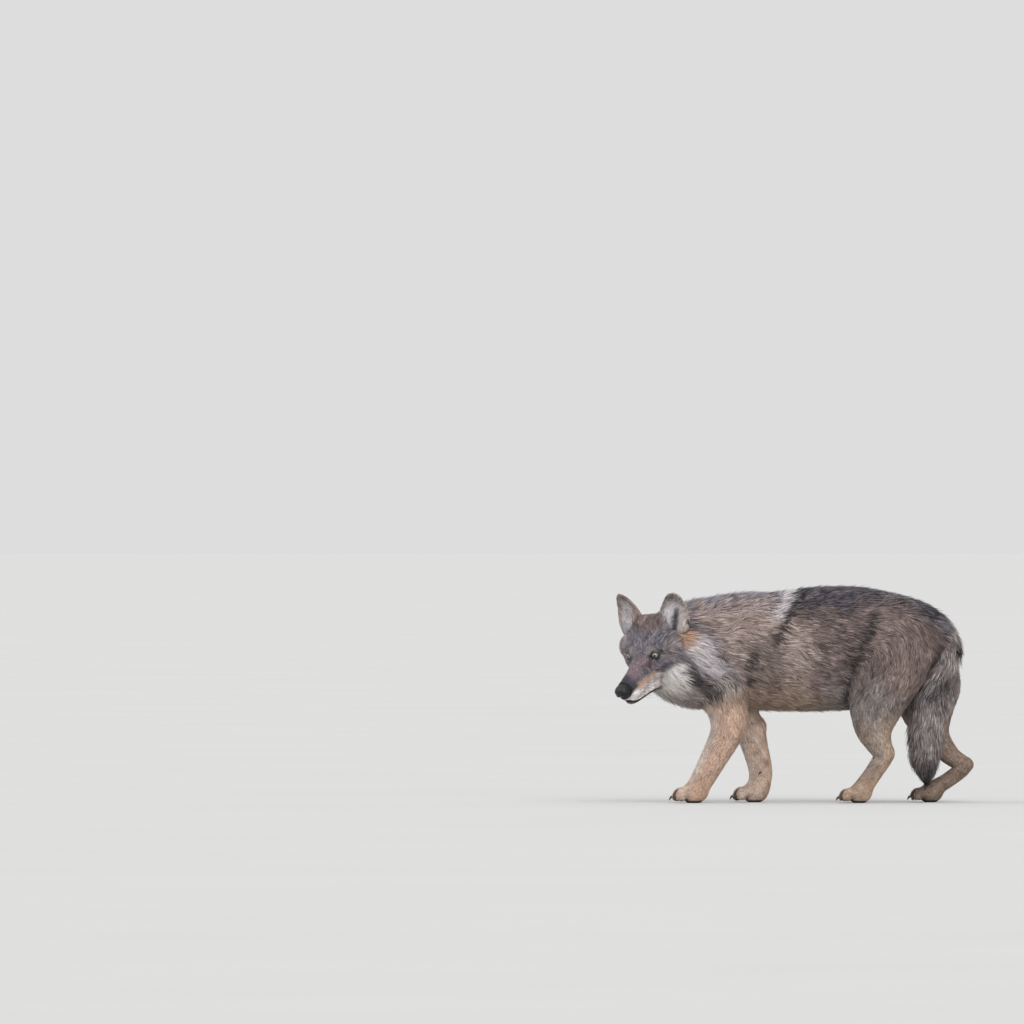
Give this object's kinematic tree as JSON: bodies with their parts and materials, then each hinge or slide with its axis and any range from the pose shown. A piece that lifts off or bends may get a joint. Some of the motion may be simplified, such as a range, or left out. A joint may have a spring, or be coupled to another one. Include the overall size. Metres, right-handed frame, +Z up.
{
  "type": "grey wolf model",
  "caption": "Life-size still model of a grey wolf in its winter coat, prowling with its head low and turned to its left",
  "frame": {"origin": "on the floor under the middle of the bounding box", "axes": "-X is the way the wolf walks, -Y is its left side, +Z is up"},
  "size_m": [1.1176, 0.4188, 0.6728],
  "materials": {
    "coat": "matte",
    "dark_coat": "matte",
    "nose": "satin",
    "eye": "gloss",
    "claw": "satin"
  },
  "bodies": {
    "root": {"head": "coat", "muzzle": "coat", "lower_jaw": "coat", "neck": "coat", "chest": "coat", "abdomen": "coat", "rump": "coat", "tail_root": "coat", "tail_upper": "coat", "tail_brush": "coat", "ear_left": "coat", "ear_right": "coat", "shoulder_left": "coat", "forearm_left": "coat", "forepaw_left": "coat", "shoulder_right": "coat", "forearm_right": "coat", "forepaw_right": "coat", "thigh_left": "coat", "shank_left": "coat", "metatarsus_left": "coat", "hindpaw_left": "coat", "thigh_right": "coat", "shank_right": "coat", "metatarsus_right": "coat", "hindpaw_right": "coat", "tail_tip": "dark_coat", "nose": "nose", "eye_left": "eye", "eye_right": "eye", "claw_fore_left_1": "claw", "claw_fore_left_2": "claw", "claw_fore_left_3": "claw", "claw_fore_left_4": "claw", "claw_fore_right_1": "claw", "claw_fore_right_2": "claw", "claw_fore_right_3": "claw", "claw_fore_right_4": "claw", "claw_hind_left_1": "claw", "claw_hind_left_2": "claw", "claw_hind_left_3": "claw", "claw_hind_left_4": "claw", "claw_hind_right_1": "claw", "claw_hind_right_2": "claw", "claw_hind_right_3": "claw", "claw_hind_right_4": "claw", "dewclaw_fore_left": "claw", "dewclaw_fore_right": "claw"}
  },
  "joints": []
}
